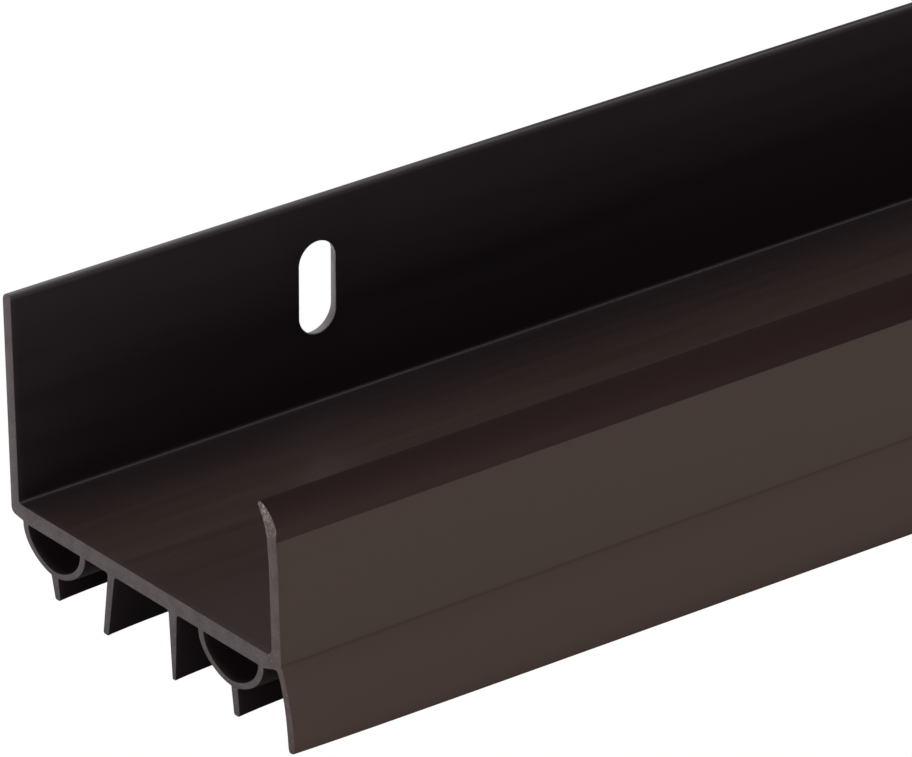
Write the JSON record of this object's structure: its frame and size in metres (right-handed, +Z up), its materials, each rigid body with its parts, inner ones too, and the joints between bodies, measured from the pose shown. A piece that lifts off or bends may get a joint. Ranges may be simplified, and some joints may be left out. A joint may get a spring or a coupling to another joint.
{
  "type": "door sweep",
  "caption": "U-shaped vinyl door bottom that slips over a door's lower edge, with a closing lip, a drip skirt, bulb seals and wiping fins.",
  "frame": {"origin": "centre of the door seat, the upper face of the web, at mid-length and midway between the legs", "axes": "+X along the sweep, +Y towards the tall screwed leg (the room side), +Z up"},
  "size_m": [0.9144, 0.0509, 0.0359],
  "materials": {
    "rigid_vinyl": "satin",
    "soft_vinyl": "satin"
  },
  "bodies": {
    "channel": {"channel": "rigid_vinyl"},
    "front_lip": {"front_lip": "soft_vinyl"},
    "drip_skirt": {"drip_skirt": "soft_vinyl"},
    "inner_bulb": {"inner_bulb": "soft_vinyl"},
    "inner_bulb_wiper": {"inner_bulb_wiper": "soft_vinyl"},
    "inner_fin": {"inner_fin": "soft_vinyl"},
    "outer_fin": {"outer_fin": "soft_vinyl"},
    "outer_bulb": {"outer_bulb": "soft_vinyl"},
    "outer_bulb_wiper": {"outer_bulb_wiper": "soft_vinyl"}
  },
  "joints": [
    {"name": "front_lip_flex", "type": "hinge", "parent": "channel", "child": "front_lip", "pos_m": [0, -0.02321, 0.0127], "axis": [1, 0, 0], "range_deg": [0, 30], "stiffness_Nm_per_rad": 0.3},
    {"name": "drip_skirt_flex", "type": "hinge", "parent": "channel", "child": "drip_skirt", "pos_m": [0, -0.02408, -0.0011], "axis": [1, 0, 0], "range_deg": [-25, 35], "stiffness_Nm_per_rad": 0.11},
    {"name": "inner_fin_flex", "type": "hinge", "parent": "channel", "child": "inner_fin", "pos_m": [0, 0.00595, -0.002], "axis": [1, 0, 0], "range_deg": [-40, 30], "stiffness_Nm_per_rad": 0.15},
    {"name": "outer_fin_flex", "type": "hinge", "parent": "channel", "child": "outer_fin", "pos_m": [0, -0.00517, -0.002], "axis": [1, 0, 0], "range_deg": [-40, 40], "stiffness_Nm_per_rad": 0.12},
    {"name": "inner_bulb_press", "type": "slide", "parent": "channel", "child": "inner_bulb", "axis": [0, 0, 1], "range_m": [0, 0.0025], "stiffness_N_per_m": 12000, "deforming": ["inner_bulb"]},
    {"name": "outer_bulb_press", "type": "slide", "parent": "channel", "child": "outer_bulb", "axis": [0, 0, 1], "range_m": [0, 0.0025], "stiffness_N_per_m": 12000, "deforming": ["outer_bulb"]},
    {"name": "inner_bulb_wiper_flex", "type": "hinge", "parent": "inner_bulb", "child": "inner_bulb_wiper", "pos_m": [0, 0.01644, -0.00702], "axis": [1, 0, 0], "range_deg": [-40, 40], "stiffness_Nm_per_rad": 0.2},
    {"name": "outer_bulb_wiper_flex", "type": "hinge", "parent": "outer_bulb", "child": "outer_bulb_wiper", "pos_m": [0, -0.016, -0.00702], "axis": [1, 0, 0], "range_deg": [-40, 40], "stiffness_Nm_per_rad": 0.2}
  ]
}
